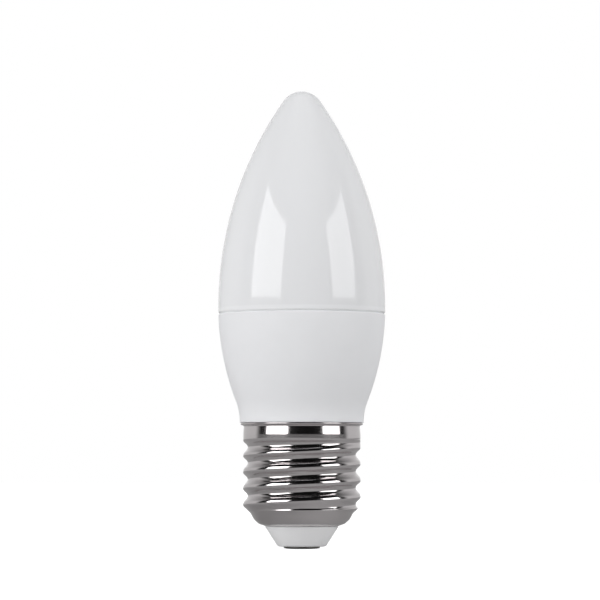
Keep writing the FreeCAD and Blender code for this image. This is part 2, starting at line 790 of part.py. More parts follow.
def make_fusible_resistor():
    """Axial resistor with two end caps, upright beside the capacitor."""
    body = new_body("fusible_resistor")
    barrel = "resistor_radius - resistor_cap"
    turn_about_axis(body, "barrel", [
        ("0", "0"),
        ("resistor_radius", "0"),
        ("resistor_radius", "resistor_cap_length"),
        (barrel, "resistor_cap_length + resistor_cap"),
        (barrel, "resistor_length - resistor_cap_length - resistor_cap"),
        ("resistor_radius", "resistor_length - resistor_cap_length"),
        ("resistor_radius", "resistor_length"),
        ("0", "resistor_length"),
    ])
    offset = f"({CAPACITOR_RADIUS} + resistor_radius + resistor_gap)"
    place(body, offset, front_of_board("resistor_radius"), RESISTOR_FOOT)
    return body


def on_board(body, name, corners, depth, side):
    """A pad from the driver board's front or back face outward, its outline given in X and Z."""
    sketch = draw(body, f"{name}_section", "XZ_Plane", corners)
    sign = "" if side == "front" else "-"
    sketch.setExpression("AttachmentOffset.Base.z", bound(f"{sign}{BOARD_FACE}"))
    return pad(body, name, sketch, depth, reverse=side == "back")


def make_inductor():
    """Drum core with two square-cornered flanges and its winding between them."""
    body = new_body("inductor")
    half = "(inductor_width / 2)"
    section = draw(body, "drum_section", "XZ_Plane", [
        ("0", "0"),
        (half, "0"),
        (half, "inductor_flange"),
        ("winding_radius", "inductor_flange"),
        ("winding_radius", "inductor_depth - inductor_flange"),
        (half, "inductor_depth - inductor_flange"),
        (half, "inductor_depth"),
        ("0", "inductor_depth"),
    ])
    drum = body.newObject("PartDesign::Revolution", "drum")
    drum.Profile = section
    drum.ReferenceAxis = (origin_plane(body, "Z_Axis"), [""])
    drum.Angle = 360
    body.Placement.Rotation = FreeCAD.Rotation(FreeCAD.Vector(1, 0, 0), 90)
    place(body, "0", f"-{BOARD_FACE}", INDUCTOR_MIDDLE)
    return body


def make_film_capacitor():
    """Boxed film capacitor on the back of the driver board, its upright edges rounded."""
    body = new_body("film_capacitor")
    block = rectangle("film_width", "film_height", "0", f"{FILM_FOOT} + film_height / 2")
    box = on_board(body, "box", block, "film_depth", "back")
    doc.recompute()
    upright = [
        f"Edge{index}" for index, edge in enumerate(box.Shape.Edges, start=1)
        if edge.BoundBox.ZLength > value("film_height") - CLOSE and edge.BoundBox.YMax > value("film_depth")
    ]
    dress_edges(body, "box_rounds", "Fillet", box, upright, "film_round")
    return body


def make_chip(label, width, depth, height, foot, leg_count, offset="0"):
    """Moulded package on the back of the driver board, over its row of flat legs."""
    body = new_body(label)
    middle = f"{foot} + {height} / 2"
    block = on_board(body, "moulding", rectangle(width, height, offset, middle), depth, "back")
    doc.recompute()
    outer = value(BOARD_FACE) + value(depth)
    top = [
        f"Edge{index}" for index, edge in enumerate(block.Shape.Edges, start=1)
        if edge.BoundBox.YMin > outer - CLOSE
    ]
    dress_edges(body, "top_chamfer", "Chamfer", block, top, "body_chamfer")
    leg_pitch = f"({width} / {leg_count})"
    for leg in range(leg_count):
        x = f"({offset} + {leg_pitch} * ({leg} - ({leg_count} - 1) / 2))"
        strip = rectangle(f"{leg_pitch} * leg_share", f"({height} + 2 * leg_reach)", x, middle)
        on_board(body, f"leg_{leg}", strip, "leg_thickness", "back")
    return body


def make_output_pins():
    """Two square pins on the back of the driver board, up through the light board."""
    body = new_body("output_pins")
    body.AllowCompound = True
    foot = f"({BOARD_TOP} - pin_lap)"
    square = rectangle("pin_width", "pin_width", "pin_pitch / 2", PIN_MIDDLE)
    sketch = draw_across(body, "pin_section", square, foot)
    pin = pad(body, "pin", sketch, f"{LIGHT_BOARD_TOP} + pin_proud - {foot}")
    repeat = body.newObject("PartDesign::Mirrored", "pair")
    repeat.Originals = [pin]
    repeat.MirrorPlane = (origin_plane(body, "YZ_Plane"), [""])
    body.Tip = repeat
    return body


def wire(label, role, route, radius, start_height, start_x="0", start_y="0"):
    """A round wire swept along straight runs and tangent arcs, upright where it starts, and its path."""
    body = new_body(label)
    path = draw(body, "route", role, route, closed=False)
    section = draw_circles(body, "wire_section", [(start_x, start_y, radius)], start_height)
    pipe = body.newObject("PartDesign::AdditivePipe", "wire")
    pipe.Profile = section
    pipe.Spine = (path, [])
    return body, path


def make_live_lead():
    """Wire from the contact's stem up to the back of the driver board, with a double bend between."""
    across = f"({BOARD_FACE} + wire_radius + seat_gap)"
    bend_top = f"({BOARD_FOOT} - loose_gap)"
    swing = f"(({bend_top} - {STEM_TOP}) / 2)"
    bend = f"({swing} ^ 2 / {across} + {across} / 4)"
    foot = "(contact_height + wire_floor)"
    body, path = wire("live_lead", "YZ_Plane", [
        ("0", foot),
        ("0", STEM_TOP),
        (f"{across} / 2", f"{STEM_TOP} + {swing}", "right", bend),
        (across, bend_top, "left", bend),
        (across, LEAD_TOP),
    ], "wire_radius", foot)
    return body


def make_neutral_lead():
    """Bare wire from the front of the driver board, out under the neck to the inside of the shell."""
    level = f"({THREAD_START} + bare_turns * thread_pitch)"
    top = f"({NECK_FOOT} + bare_lap)"
    end = f"-({THREAD_ROOT} - sheet - solder_gap)"
    front = f"({BOARD_FACE} + bare_radius + seat_gap)"
    side = f"-({NECK_BORE} - bare_inset)"
    body, path = wire("neutral_lead", "XZ_Plane", [
        (side, top),
        (side, f"{level} + bare_bend"),
        (f"{side} - bare_bend", level, "right", "bare_bend"),
        (end, level),
    ], "bare_radius", top, side, f"-{front}")
    path.setExpression("AttachmentOffset.Base.z", bound(front))
    return body


parts = [
    make_centre_contact(),
    make_insulator(),
    make_screw_shell(),
    make_housing(),
    make_diffuser(),
    make_heat_sink(),
    make_led_board(),
    make_led_packages(),
    make_board_screws(),
    make_driver_board(),
    make_bulk_capacitor(),
    make_fusible_resistor(),
    make_inductor(),
    make_film_capacitor(),
    make_chip("bridge_rectifier", "bridge_width", "bridge_depth", "bridge_height", BRIDGE_FOOT, 2),
    make_chip("driver_chip", "chip_width", "chip_depth", "chip_height", CHIP_FOOT, 4),
    make_chip("flyback_diode", "diode_width", "diode_depth", "diode_height", DIODE_FOOT, 1, "diode_offset"),
    make_output_pins(),
    make_live_lead(),
    make_neutral_lead(),
]
doc.recompute()

for item in doc.Objects:
    if "Invalid" in item.State or "Error" in item.State:
        raise ValueError(f"{item.Label} failed: {item.State}")
for part in parts:
    if part.Shape.isNull() or not part.Shape.isValid() or not part.Shape.Solids:
        raise ValueError(f"{part.Label} has no valid solid")

os.makedirs("parts", exist_ok=True)
for part in parts:
    part.Shape.exportStep(f"parts/{part.Label}.step")
    print(f"{part.Label}: {len(part.Shape.Solids)} solids, {part.Shape.Volume:.1f} mm3")
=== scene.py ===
import json
import math

import bmesh
import bpy
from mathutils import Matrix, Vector


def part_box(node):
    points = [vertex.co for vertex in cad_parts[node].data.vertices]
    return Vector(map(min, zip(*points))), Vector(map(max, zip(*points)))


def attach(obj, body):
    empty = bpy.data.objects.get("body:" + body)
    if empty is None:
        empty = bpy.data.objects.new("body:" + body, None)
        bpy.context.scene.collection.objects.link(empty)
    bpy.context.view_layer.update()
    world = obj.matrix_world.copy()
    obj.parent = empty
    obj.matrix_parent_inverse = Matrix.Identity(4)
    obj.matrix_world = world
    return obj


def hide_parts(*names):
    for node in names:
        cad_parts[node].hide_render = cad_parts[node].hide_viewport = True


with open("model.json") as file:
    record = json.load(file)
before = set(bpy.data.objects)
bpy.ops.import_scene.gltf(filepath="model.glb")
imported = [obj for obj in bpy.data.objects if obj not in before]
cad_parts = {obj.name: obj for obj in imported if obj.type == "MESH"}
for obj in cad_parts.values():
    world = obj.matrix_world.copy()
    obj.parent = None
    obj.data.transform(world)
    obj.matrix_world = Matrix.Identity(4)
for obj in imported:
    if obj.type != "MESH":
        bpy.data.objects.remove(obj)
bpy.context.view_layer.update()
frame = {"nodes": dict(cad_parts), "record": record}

# Candle lamp with a screw cap: its five outer pieces drawn finely, a finish for every piece, and a studio
# round it. Outlines are in millimetres in the frame's own axes, with Z up the lamp, and become metres as
# a mesh is made.
MM = 0.001


def span(node):
    """Lowest and highest point and outer radius of a node, in millimetres."""
    low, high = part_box(node)
    return low.z / MM, high.z / MM, high.x / MM


# Heights and radii that the frame gives.
SKIRT_FOOT, TIP, WIDE_RADIUS = span("diffuser")
NECK_FOOT, HOUSING_TOP = span("housing")[:2]
MOUTH, SHELL_TOP, RIM_RADIUS = span("screw_shell")
CONE_FOOT, SPIGOT_TOP, MOUTH_RADIUS = span("insulator")
CONTACT_FOOT, STEM_TOP, CONTACT_RADIUS = span("centre_contact")
LIGHT_SEAT = span("led_board")[0]
SINK_FOOT = span("heat_sink")[0]

# Fits and walls.
SEAT_GAP = 0.05
RIM_DROP = 0.4
SHEET = 0.3
HOUSING_WALL = 1.2
DIFFUSER_WALL = 1.2

# Screw thread rolled in the sheet. The lean is the share by which the groove's upper flank is shorter and
# its lower flank longer than half a pitch, and the fall is how much less the run-out rises.
THREAD_RADIUS = 13.03
THREAD_DEPTH = 1.16
THREAD_PITCH = 3.629
THREAD_LEAN = 0.12
THREAD_LIFT = 1.26
FULL_TURNS = 4.4
RUNOUT_TURNS = 0.6
RUNOUT_FALL = 1.0
RUNOUT_POWER = 3
THREAD_SLACK = 0.03
ROLL_SOFTNESS = 0.25
FLANK_SLOPE = math.radians(35)

# Shell below the thread: each corner as radius, height above the mouth and rounding.
MOUTH_LIP = 0.15
TAPER = ((9.5, 0.48, 1.0), (10.55, 1.43, 2.0), (11.3, 2.83, 0.8))
CREST_FOOT = 4.45
CREST_ROUND = 0.6

# Collar and rim above the thread, with depths measured down from the top of the rim.
COLLAR_RADIUS = 12.97
COLLAR_BELLY = 25.15
COLLAR_ROUND = 3.0
COLLAR_WAIST = 12.8
WAIST_DEPTH = 0.66
WAIST_ROUND = 0.2
RIM_HEIGHT = 0.4
RIM_ROUND = 0.18

# Housing and diffuser.
FOOT_RADIUS = 13.66
FOOT_ROUND = 0.12
FLARE_RADIUS = 13.46
SEAM_DROP = 0.3
SEAM_GAP = 0.02
SEAM_BEVEL = 0.32
SEAM_ROUND = 0.28
WIDEST_RISE = 1.7
TIP_RADIUS = 4.95
NECK_BORE = 9.2
NECK_RADIUS = 11.34
RING_RADIUS = 12.55
RING_HEIGHT = 2.9
SLOT_REACH = 9.9
SLOT_WIDTH = 1.2

# Insulator.
STEM_HOLE = 1.45
CONE_FOOT_RADIUS = 5.3
CONE_FOOT_ROUND = 0.8
CONE_OVERHANG = 0.2
CONE_TOP_ROUND = 0.12
SPIGOT_ROUND = 0.2

# Contact: a flat, a dome out to its edge, and a hollow stem.
HEAD_FLAT = 2.6
DOME_RADIUS = 3.4
DOME_RISE = 0.06
HEAD_EDGE = 0.2
HEAD_ROUND = 0.1
STEM_RADIUS = 1.4
STEM_BORE = 0.75
STEM_ROUND = 0.15

# Heights that follow from the ones above.
SEAM = HOUSING_TOP - SEAM_DROP
WIDEST = SEAM + WIDEST_RISE
HOUSING_FOOT = SHELL_TOP + SEAT_GAP - RIM_DROP
THREAD_START = MOUTH + THREAD_LIFT

# How finely the turned pieces are divided. The shell's inside has one row for each INNER_STRIDE rows of
# its outside, and a face that is cut off has no row nearer to a cut than the margin.
SEGMENTS = 256
ARC_STEP = 0.8
CORNER_STEPS = 6
THREAD_STEP = 0.1
INNER_STRIDE = 4
CUT_MARGIN = 0.3
SHARP_ANGLE = math.radians(40)
TINY = 1e-6


def arc(centre, radius, start, end):
    """Points along an arc of a section, from one angle to another in radians from the outward side."""
    steps = max(2, math.ceil(abs(end - start) * radius / ARC_STEP))
    angles = [start + (end - start) * step / steps for step in range(steps + 1)]
    return [(centre[0] + radius * math.cos(a), centre[1] + radius * math.sin(a)) for a in angles]


def rounded(outline):
    """The outline with each corner that is given as (radius, height, rounding) turned into an arc."""
    points = []
    for index, corner in enumerate(outline):
        here = Vector(corner[:2])
        if len(corner) == 2:
            points.append(tuple(here))
            continue
        before = (Vector(outline[index - 1][:2]) - here).normalized()
        after = (Vector(outline[(index + 1) % len(outline)][:2]) - here).normalized()
        half = before.angle(after) / 2
        centre = here + (before + after).normalized() * corner[2] / math.sin(half)
        ends = [here + side * corner[2] / math.tan(half) - centre for side in (before, after)]
        start, end = (math.atan2(offset.y, offset.x) for offset in ends)
        turn = (end - start + math.pi) % (2 * math.pi) - math.pi
        for step in range(CORNER_STEPS + 1):
            angle = start + turn * step / CORNER_STEPS
            across, up = corner[2] * math.cos(angle), corner[2] * math.sin(angle)
            points.append((centre.x + across, centre.y + up))
    return points


def divided(first, last, step):
    """Points on a straight side, both ends included, no further apart than the step."""
    first, last = Vector(first), Vector(last)
    count = max(1, math.ceil((last - first).length / step))
    return [tuple(first.lerp(last, index / count)) for index in range(count + 1)]


def turned(name, outline, reshape=None):
    """A closed piece turned about Z from an outline; reshape gives a point's radius at an angle."""
    mesh = bmesh.new()
    rings = []
    for radius, height in outline:
        if radius < TINY:
            rings.append([mesh.verts.new((0, 0, height * MM))] * SEGMENTS)
            continue
        ring = []
        for segment in range(SEGMENTS):
            angle = 2 * math.pi * segment / SEGMENTS
            reach = (reshape(radius, height, angle) if reshape else radius) * MM
            ring.append(mesh.verts.new((reach * math.cos(angle), reach * math.sin(angle), height * MM)))
        rings.append(ring)
    for ring, following in zip(rings, rings[1:] + rings[:1]):
        for segment in range(SEGMENTS):
            corners = [ring[segment - 1], ring[segment], following[segment], following[segment - 1]]
            corners = list(dict.fromkeys(corners))
            if len(corners) > 2:
                mesh.faces.new(corners).smooth = True
    bmesh.ops.recalc_face_normals(mesh, faces=mesh.faces)
    data = bpy.data.meshes.new(name)
    mesh.to_mesh(data)
    mesh.free()
    data.set_sharp_from_angle(angle=SHARP_ANGLE)
    piece = bpy.data.objects.new(name, data)
    bpy.context.scene.collection.objects.link(piece)
    return piece


def dress(piece, node, material):
    """The piece stands for its node, rides with the body and takes its finish from the node's slot."""
    piece.data.materials.append(material)
    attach(piece, "root")
    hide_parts(node)


# Side of the housing: two arcs, upright at the foot and at the widest point, that meet in a tangent.
SIDE_STEP = WIDE_RADIUS - FOOT_RADIUS
SIDE_RISE = WIDEST - HOUSING_FOOT
SIDE_SUM = (SIDE_STEP ** 2 + SIDE_RISE ** 2) / (2 * SIDE_STEP)
SIDE_TURN = math.asin(SIDE_RISE / SIDE_SUM)


def housing_side(depth):
    """The side as a face a depth inside the outer one, from the foot up to the widest point."""
    flare_middle = (FOOT_RADIUS + FLARE_RADIUS, HOUSING_FOOT)
    flare = arc(flare_middle, FLARE_RADIUS + depth, math.pi, math.pi - SIDE_TURN)
    shoulder_middle = (WIDE_RADIUS - SIDE_SUM + FLARE_RADIUS, WIDEST)
    shoulder = arc(shoulder_middle, SIDE_SUM - FLARE_RADIUS - depth, -SIDE_TURN, 0)
    return flare + shoulder[1:]


def cut_off(side, low, high):
    """The part of a rising face between two heights, with its ends exactly there."""
    def at(height):
        for (r0, z0), (r1, z1) in zip(side, side[1:]):
            if z0 <= height <= z1:
                return r0 + (r1 - r0) * (height - z0) / (z1 - z0)
        raise ValueError(f"no point of the face is at {height:.2f} mm")
    inner = [point for point in side if low + CUT_MARGIN < point[1] < high - CUT_MARGIN]
    return [(at(low), low)] + inner + [(at(high), high)]


def make_housing():
    """Moulded housing: flared side, rebate for the diffuser, floor, and a neck slotted for the board."""
    top = SEAM - SEAM_GAP / 2
    outer = cut_off(housing_side(0), HOUSING_FOOT, top)
    inner = cut_off(housing_side(HOUSING_WALL), SINK_FOOT - SEAT_GAP, LIGHT_SEAT)[::-1]
    rebate = WIDE_RADIUS - HOUSING_WALL
    ring_foot = HOUSING_FOOT - RING_HEIGHT
    outline = [
        (NECK_BORE, NECK_FOOT),
        (NECK_RADIUS, NECK_FOOT),
        (NECK_RADIUS, ring_foot - (RING_RADIUS - NECK_RADIUS)),
        (RING_RADIUS, ring_foot),
        (RING_RADIUS, HOUSING_FOOT),
        outer[0] + (FOOT_ROUND,),
        *outer[1:-1],
        (outer[-1][0], top - SEAM_BEVEL, SEAM_ROUND),
        (outer[-1][0] - SEAM_BEVEL, top),
        (rebate, top),
        (rebate, LIGHT_SEAT),
        *inner,
        (NECK_BORE, SINK_FOOT - SEAT_GAP),
    ]

    def slotted(radius, height, angle):
        in_slot = abs(radius * math.sin(angle)) <= SLOT_WIDTH / 2 + TINY
        return SLOT_REACH if in_slot and radius <= NECK_BORE else radius

    return turned("housing_moulding", rounded(outline), slotted)


def make_diffuser():
    """Opal cover: one long arc on each side of its wall, a round tip and a skirt into the housing."""
    rise = TIP - TIP_RADIUS - WIDEST
    radius = (WIDE_RADIUS ** 2 + rise ** 2 - TIP_RADIUS ** 2) / (2 * (WIDE_RADIUS - TIP_RADIUS))
    middle = (WIDE_RADIUS - radius, WIDEST)
    join = math.atan2(rise, radius - WIDE_RADIUS)
    foot = SEAM + SEAM_GAP / 2
    foot_turn = math.asin((foot - WIDEST) / radius)
    outer = arc(middle, radius, foot_turn, join)
    tip = arc((0, TIP - TIP_RADIUS), TIP_RADIUS, join, math.pi / 2)
    inner = arc(middle, radius - DIFFUSER_WALL, join, 0)
    inner_tip = arc((0, TIP - TIP_RADIUS), TIP_RADIUS - DIFFUSER_WALL, math.pi / 2, join)
    skirt = WIDE_RADIUS - HOUSING_WALL - SEAT_GAP
    outline = [
        (skirt - DIFFUSER_WALL, SKIRT_FOOT),
        (skirt, SKIRT_FOOT),
        (skirt, foot),
        (outer[0][0] - SEAM_BEVEL, foot),
        (outer[0][0], foot + SEAM_BEVEL, SEAM_ROUND),
        *outer[1:],
        *tip[1:-1],
        (0, TIP),
        (0, TIP - DIFFUSER_WALL),
        *inner_tip[1:],
        *inner[1:],
        (skirt - DIFFUSER_WALL, foot),
    ]
    return turned("diffuser_cover", rounded(outline))


def soft_least(first, second, softness):
    """The lesser of two lengths, with the step between them rounded off."""
    near = max(softness - abs(first - second), 0) / softness
    return min(first, second) - near * near * softness / 4


def groove(distance):
    """Radius of the rolled groove at a distance up from its root: a wave, shorter on its upper flank."""
    half = THREAD_PITCH / 2 * (1 - THREAD_LEAN if distance > 0 else 1 + THREAD_LEAN)
    wave = math.cos(math.pi * min(abs(distance) / half, 1))
    return THREAD_RADIUS - THREAD_DEPTH * (1 + wave) / 2


def threaded(radius, height, angle):
    """A radius of the shell's plain form with the rolled thread and its run-out pressed in."""
    turn = angle / (2 * math.pi)
    while turn <= FULL_TURNS + RUNOUT_TURNS:
        fading = max(turn - FULL_TURNS, 0) / RUNOUT_TURNS
        distance = height - THREAD_START - THREAD_PITCH * turn + RUNOUT_FALL * fading
        if abs(distance) < THREAD_PITCH:
            reach = groove(distance) + THREAD_SLACK + THREAD_DEPTH * fading ** RUNOUT_POWER
            radius = soft_least(radius, reach, ROLL_SOFTNESS)
        turn += 1
    return radius


def make_screw_shell():
    """Rolled sheet shell: mouth, knee, taper, thread, barrelled collar and a beaded rim."""
    crest = THREAD_RADIUS + 2 * THREAD_SLACK
    rim_top = HOUSING_FOOT - SEAT_GAP
    plain = rounded([
        (MOUTH_RADIUS + MOUTH_LIP, MOUTH),
        *((radius, MOUTH + rise, rounding) for radius, rise, rounding in TAPER),
        (crest, MOUTH + CREST_FOOT, CREST_ROUND),
        (COLLAR_RADIUS, COLLAR_BELLY, COLLAR_ROUND),
        (COLLAR_WAIST, rim_top - WAIST_DEPTH, WAIST_ROUND),
        (RIM_RADIUS, rim_top - RIM_HEIGHT, RIM_ROUND),
        (RIM_RADIUS, rim_top, RIM_ROUND),
        (RIM_RADIUS - 2 * SHEET, rim_top),
    ])[:-1]
    outer = []
    for first, last in zip(plain, plain[1:]):
        outer += divided(first, last, THREAD_STEP)[:-1]
    outer.append(plain[-1])
    # Across the lamp the two faces are as far apart as on a sloping flank. The groove is pressed as deep
    # into the inner face as into the outer one, so they meet in it.
    wall = SHEET / math.cos(FLANK_SLOPE)
    inner = [(radius - wall, height) for radius, height in outer[::-INNER_STRIDE]]
    return turned("screw_shell_sheet", outer + inner, threaded)


def make_insulator():
    """Moulded cone with a rounded foot, a spigot into the shell's mouth and the stem's hole."""
    spigot = MOUTH_RADIUS - SHEET - SEAT_GAP
    cone_top = MOUTH - SEAT_GAP
    outline = [
        (STEM_HOLE, CONE_FOOT),
        (CONE_FOOT_RADIUS, CONE_FOOT, CONE_FOOT_ROUND),
        (MOUTH_RADIUS + CONE_OVERHANG, cone_top, CONE_TOP_ROUND),
        (spigot, cone_top),
        (spigot, SPIGOT_TOP, SPIGOT_ROUND),
        (STEM_HOLE, SPIGOT_TOP),
    ]
    return turned("insulator_cone", rounded(outline))


def make_contact():
    """Rivet of tinned brass with a slightly domed head and a hollow stem."""
    outline = [
        (0, CONTACT_FOOT),
        (HEAD_FLAT, CONTACT_FOOT),
        (DOME_RADIUS, CONTACT_FOOT + DOME_RISE),
        (CONTACT_RADIUS, CONTACT_FOOT + HEAD_EDGE, HEAD_ROUND),
        (CONTACT_RADIUS, CONE_FOOT, HEAD_ROUND),
        (STEM_RADIUS, CONE_FOOT),
        (STEM_RADIUS, STEM_TOP, STEM_ROUND),
        (STEM_BORE, STEM_TOP, STEM_ROUND),
        (STEM_BORE, CONE_FOOT),
        (0, CONE_FOOT),
    ]
    return turned("contact_rivet", rounded(outline))


# The noise values between which a finish goes over, how many grains wide its patches of colour are, the
# detail of both noises, and the share by which its gloss varies.
NOISE_LOW, NOISE_HIGH = 0.3, 0.7
PATCH_GRAINS = 20
PATCH_DETAIL, GRAIN_DETAIL = 2, 4
GLOSS_SPREAD = 0.15


class Finish:
    """A material made of nodes, with short ways to add the ones that the finishes here share."""

    def __init__(self, name):
        self.material = bpy.data.materials.new(name)
        self.material.use_nodes = True
        self.tree = self.material.node_tree
        self.shader = self.tree.nodes["Principled BSDF"]
        self.place = self.tree.nodes.new("ShaderNodeTexCoord").outputs["Object"]

    def link(self, output, socket):
        self.tree.links.new(output, socket)

    def noise(self, size, detail, stretch=(1, 1, 1)):
        """Noise with grains of about a size in millimetres, drawn out along an axis by its stretch."""
        mapping = self.tree.nodes.new("ShaderNodeMapping")
        mapping.inputs["Scale"].default_value = [1 / (size * MM * share) for share in stretch]
        self.link(self.place, mapping.inputs["Vector"])
        node = self.tree.nodes.new("ShaderNodeTexNoise")
        node.inputs["Scale"].default_value = 1
        node.inputs["Detail"].default_value = detail
        self.link(mapping.outputs["Vector"], node.inputs["Vector"])
        return node.outputs["Fac"]

    def height(self):
        """Height up the lamp."""
        split = self.tree.nodes.new("ShaderNodeSeparateXYZ")
        self.link(self.place, split.inputs["Vector"])
        return split.outputs["Z"]

    def tint(self, factor, colour):
        """Goes over to a second base colour as the factor goes from 0 to 1."""
        socket = self.shader.inputs["Base Color"]
        first = socket.links[0].from_socket
        mix = self.tree.nodes.new("ShaderNodeMix")
        mix.data_type = "RGBA"
        mix.inputs["B"].default_value = (*colour, 1)
        self.link(factor, mix.inputs["Factor"])
        self.link(first, mix.inputs["A"])
        self.link(mix.outputs["Result"], socket)

    def between(self, factor, low, high, start=NOISE_LOW, end=NOISE_HIGH):
        """A number that goes from low to high as the factor goes from start to end."""
        node = self.tree.nodes.new("ShaderNodeMapRange")
        for name, number in zip(("From Min", "From Max", "To Min", "To Max"), (start, end, low, high)):
            node.inputs[name].default_value = number
        self.link(factor, node.inputs["Value"])
        return node.outputs["Result"]

    def blend(self, factor, *stops):
        """A colour that goes over between two stops, each a place and a colour."""
        node = self.tree.nodes.new("ShaderNodeValToRGB")
        for element, (place, colour) in zip(node.color_ramp.elements, stops):
            element.position = place
            element.color = (*colour, 1)
        self.link(factor, node.inputs["Fac"])
        return node.outputs["Color"]

    def relief(self, height, depth):
        """A bump whose full height is a depth in millimetres."""
        node = self.tree.nodes.new("ShaderNodeBump")
        node.inputs["Distance"].default_value = depth * MM
        self.link(height, node.inputs["Height"])
        self.link(node.outputs["Normal"], self.shader.inputs["Normal"])


def shaded(colour, share):
    """A colour made lighter or darker by a share."""
    return tuple(min(part * share, 1) for part in colour)


def coated(name, colour, roughness, grain, depth, variation, metal=0.0, stretch=(1, 1, 1)):
    """A finish with slow colour variation, uneven gloss and a fine relief. The grain and the relief's
    depth are in millimetres, and the variation is a share of the colour."""
    finish = Finish(name)
    finish.shader.inputs["Metallic"].default_value = metal
    slow = finish.noise(grain * PATCH_GRAINS, PATCH_DETAIL)
    fine = finish.noise(grain, GRAIN_DETAIL, stretch)
    darker = NOISE_LOW, shaded(colour, 1 - variation)
    lighter = NOISE_HIGH, shaded(colour, 1 + variation)
    finish.link(finish.blend(slow, darker, lighter), finish.shader.inputs["Base Color"])
    spread = finish.between(fine, roughness * (1 - GLOSS_SPREAD), roughness * (1 + GLOSS_SPREAD))
    finish.link(spread, finish.shader.inputs["Roughness"])
    finish.relief(fine, depth)
    return finish


# The cover's colour, and a painted highlight: a band at its foot made paler for light that the cover
# catches there.
# Its height above the seam, how far it fades and how much paler it is.
OPAL = (0.83, 0.835, 0.85)
HIGHLIGHT_BAND_RISE = 1.0
HIGHLIGHT_BAND_FADE = 0.4
HIGHLIGHT_BAND_GAIN = 1.05


def opal_plastic():
    """Gloss opal cover: milky, with a skin that is almost flat, and a painted highlight: a paler band just
    above the seam.
    """
    finish = coated("opal_plastic", OPAL, roughness=0.05, grain=3.0, depth=0.0015, variation=0.006)
    # Painted highlight: the cover's colour goes paler in a band just above the seam.
    highlight_top = SEAM + HIGHLIGHT_BAND_RISE
    painted_highlight = finish.between(finish.height(), 1, 0, highlight_top * MM, (highlight_top + HIGHLIGHT_BAND_FADE) * MM)
    finish.tint(painted_highlight, shaded(OPAL, HIGHLIGHT_BAND_GAIN))
    return finish.material


# Finishes by slot: colour, roughness, grain, depth, variation, and then metal and stretch where they
# aren't the plain ones. The housing has a fine spark grain, the shell faint draw lines round the cap, and
# the contact turning marks.
OUTER_FINISHES = {
    "housing_plastic": ((0.845, 0.85, 0.868), 0.5, 0.25, 0.006, 0.008),
    "plated_shell": ((0.69, 0.658, 0.662), 0.12, 0.5, 0.0005, 0.02, 1.0, (12, 12, 0.5)),
    "insulator_plastic": ((0.86, 0.86, 0.868), 0.42, 0.4, 0.008, 0.015),
    # Painted shade: the contact's colour is far darker than its tinned brass, standing in for the dark it
    # reflects.
    "contact_metal": ((0.24, 0.23, 0.215), 0.4, 0.3, 0.004, 0.06, 1.0),
}
INNER_FINISHES = {
    "bare_aluminium": ((0.78, 0.78, 0.79), 0.35, 0.4, 0.004, 0.03, 1.0, (1, 1, 6)),
    "white_board": ((0.86, 0.86, 0.84), 0.4, 0.3, 0.003, 0.02),
    "light_package": ((0.92, 0.74, 0.16), 0.35, 0.2, 0.01, 0.04),
    "zinc_steel": ((0.68, 0.68, 0.70), 0.28, 0.2, 0.004, 0.05, 1.0),
    "green_board": ((0.03, 0.22, 0.08), 0.3, 0.35, 0.01, 0.12),
    "black_sleeve": ((0.03, 0.03, 0.035), 0.25, 0.5, 0.01, 0.1),
    "resistor_body": ((0.12, 0.22, 0.33), 0.45, 0.2, 0.01, 0.08),
    "ferrite": ((0.05, 0.05, 0.055), 0.55, 0.15, 0.02, 0.15),
    "film_box": ((0.5, 0.05, 0.03), 0.3, 0.4, 0.006, 0.05),
    "black_moulding": ((0.025, 0.025, 0.025), 0.6, 0.12, 0.012, 0.1),
    "tinned_brass": ((0.72, 0.70, 0.64), 0.25, 0.2, 0.003, 0.05, 1.0, (1, 1, 8)),
    "wire_sleeve": ((0.45, 0.03, 0.025), 0.35, 0.5, 0.006, 0.05),
    "bare_copper": ((0.75, 0.58, 0.45), 0.28, 0.2, 0.003, 0.06, 1.0, (1, 1, 8)),
}


def outer_finish(slot):
    """The finish of an outer piece, by its slot."""
    return coated(slot, *OUTER_FINISHES[slot]).material


def dress_inner_nodes():
    """Each node that keeps its own mesh takes the finish of its slot."""
    finishes = {slot: coated(slot, *values) for slot, values in INNER_FINISHES.items()}
    for subpart in frame["record"]["subparts"]:
        finish = finishes.get(subpart["material_slot"])
        if finish is None:
            continue
        piece = frame["nodes"][subpart["node"]]
        piece.data.materials.clear()
        piece.data.materials.append(finish.material)


# Light, by direction. A bearing is in degrees from the front, positive to the right, and a height in
# degrees above the horizon. A box has the bearings of its left and right side, each at its foot and at
# its top, and the heights of its foot, top left and top right corner. All rays but the camera's see the
# two softboxes. Apart from them, gloss mirrors a pale rear, paler straight behind, and a low haze, all on
# a dark ground, and other surfaces get the fills and the ambient level.
LEFT_BOX = {"left": (-74, -72), "right": (-29, -25), "heights": (4.4, 36.5, 28.7), "level": 3.5}
RIGHT_BOX = {"left": (43.5, 39), "right": (79.5, 80.5), "heights": (4.3, 27.7, 33), "level": 2.9}
SIDE_EDGE = 1.2
TOP_EDGE = 0.4
LEFT_FILL = {"left": (-100, -100), "right": (-20, -20), "heights": (0, 45, 45), "level": 0.5}
RIGHT_FILL = {"left": (65, 65), "right": (145, 145), "heights": (30, 75, 75), "level": 1.35}
AMBIENT = 0.36
REAR = {"start": 97, "edge": 9, "top": 40, "fade": 25, "level": 0.6}
BEHIND = {"start": 162, "edge": 9, "level": 0.85}
HAZE = {"top": 3.9, "level": 0.15}
DARK = 0.003


